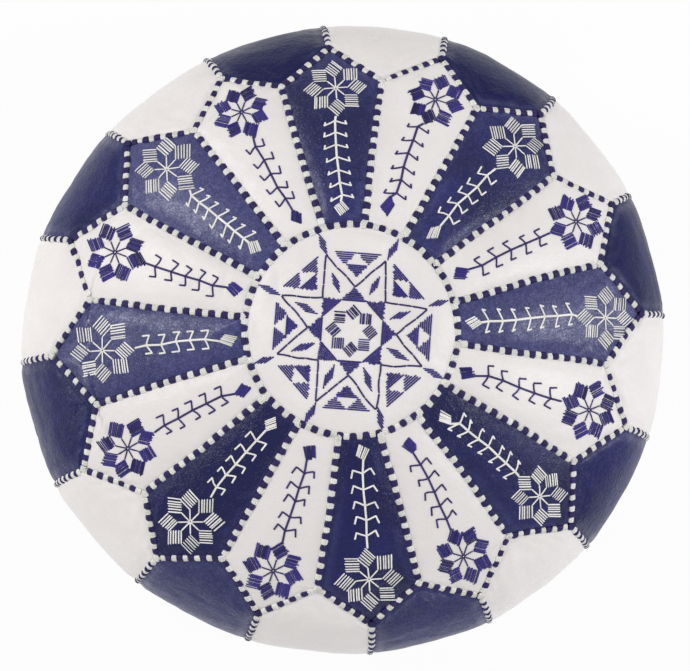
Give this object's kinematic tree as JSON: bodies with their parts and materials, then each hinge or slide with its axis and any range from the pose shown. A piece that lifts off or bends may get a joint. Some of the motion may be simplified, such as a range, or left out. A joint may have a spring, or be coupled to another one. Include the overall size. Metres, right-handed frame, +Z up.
{
  "type": "leather pouf",
  "caption": "Round stuffed leather footstool with a stitched medallion and petals on top, embroidered flowers, panelled sides and a zip in the base.",
  "frame": {"origin": "on the floor under the middle of the base", "axes": "+Z up through the crown; +Y through the middle of petal_01; the zip runs along X"},
  "size_m": [0.5338, 0.5338, 0.3207],
  "materials": {
    "leather_white": "soft white goatskin, fine grain, satin",
    "leather_navy": "dyed navy goatskin, fine grain, satin",
    "seam_thread": "white and navy cotton cord in turn",
    "thread_blue": "lustrous blue embroidery thread",
    "thread_white": "lustrous ivory embroidery thread",
    "bag_cotton": "unbleached cotton",
    "fibre": "loose white fibre filling",
    "zip_tape": "woven navy tape",
    "zip_metal": "brushed antique brass",
    "zip_thread": "waxed navy sewing thread"
  },
  "bodies": {
    "cover": {"medallion": "leather_white", "petal_01": "leather_navy", "petal_02": "leather_white", "petal_03": "leather_navy", "petal_04": "leather_white", "petal_05": "leather_navy", "petal_06": "leather_white", "petal_07": "leather_navy", "petal_08": "leather_white", "petal_09": "leather_navy", "petal_10": "leather_white", "petal_11": "leather_navy", "petal_12": "leather_white", "petal_13": "leather_navy", "petal_14": "leather_white", "petal_15": "leather_navy", "petal_16": "leather_white", "side_panel_01": "leather_white", "side_panel_02": "leather_navy", "side_panel_03": "leather_white", "side_panel_04": "leather_navy", "side_panel_05": "leather_white", "side_panel_06": "leather_navy", "side_panel_07": "leather_white", "side_panel_08": "leather_navy", "side_panel_09": "leather_white", "side_panel_10": "leather_navy", "side_panel_11": "leather_white", "side_panel_12": "leather_navy", "side_panel_13": "leather_white", "side_panel_14": "leather_navy", "side_panel_15": "leather_white", "side_panel_16": "leather_navy", "base_half_left": "leather_navy", "base_half_right": "leather_navy", "inner_bag_top": "bag_cotton", "inner_bag_bottom": "bag_cotton", "stuffing": "fibre", "medallion_seam": "seam_thread", "petal_seams": "seam_thread", "tip_seams": "seam_thread", "side_seams": "seam_thread", "base_seam": "seam_thread", "zip_end_seams": "seam_thread", "medallion_embroidery": "thread_blue", "blue_embroidery": "thread_blue", "white_embroidery": "thread_white", "zip_tape_left": "zip_tape", "zip_tape_right": "zip_tape", "zip_teeth_left": "zip_metal", "zip_teeth_right": "zip_metal", "zip_top_stops": "zip_metal", "zip_bottom_stop": "zip_metal", "zip_stitching": "zip_thread"},
    "zip_slider": {"zip_slider": "zip_metal"},
    "zip_pull": {"zip_pull_tab": "zip_metal"}
  },
  "joints": [
    {"name": "zip_slide", "type": "slide", "parent": "cover", "child": "zip_slider", "axis": [1, 0, 0], "range_m": [-0.228, 0], "deforming": ["zip_teeth_left", "zip_teeth_right"]},
    {"name": "pull_tab_hinge", "type": "hinge", "parent": "zip_slider", "child": "zip_pull", "pos_m": [0.1142, 0, 0.0046], "axis": [0, -1, 0], "range_deg": [0, 175]}
  ]
}
